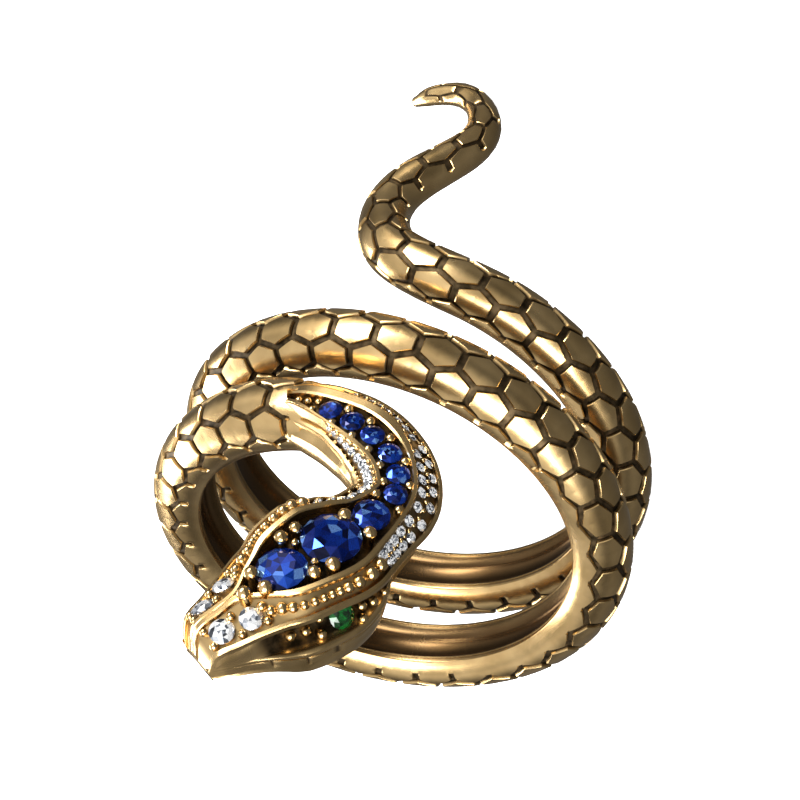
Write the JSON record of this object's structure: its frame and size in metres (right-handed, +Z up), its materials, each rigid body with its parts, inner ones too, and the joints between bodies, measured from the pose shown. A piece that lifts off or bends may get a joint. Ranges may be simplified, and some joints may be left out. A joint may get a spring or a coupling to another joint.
{
  "type": "snake wrap ring",
  "caption": "Cast snake wrap ring: a scaled body winds round the finger, with a long bent tail at one end and a jewelled neck and head at the other.",
  "frame": {"origin": "bottom centre of the bounding box: under the ring, on the surface that it lies on", "axes": "+Z up with the ring lying at rest on its tail and one edge of its loops; the finger hole's axis slants, from the tail's end low at +X up to the head's end at -X"},
  "size_m": [0.0292, 0.0244, 0.0283],
  "materials": {
    "gold": "polished, with dark patina in the grooves between the scales",
    "sapphire": "faceted, polished",
    "emerald": "faceted, polished",
    "diamond": "faceted, polished"
  },
  "bodies": {
    "root": {"body": "gold", "sapphire_1": "sapphire", "sapphire_2": "sapphire", "sapphire_3": "sapphire", "sapphire_4": "sapphire", "sapphire_5": "sapphire", "sapphire_6": "sapphire", "sapphire_7": "sapphire", "sapphire_8": "sapphire", "sapphire_9": "sapphire", "nose_diamond_1": "diamond", "nose_diamond_2": "diamond", "nose_diamond_3": "diamond", "nose_diamond_4": "diamond", "eye_left": "emerald", "eye_right": "emerald", "pave_left": "diamond", "pave_right": "diamond"}
  },
  "joints": []
}
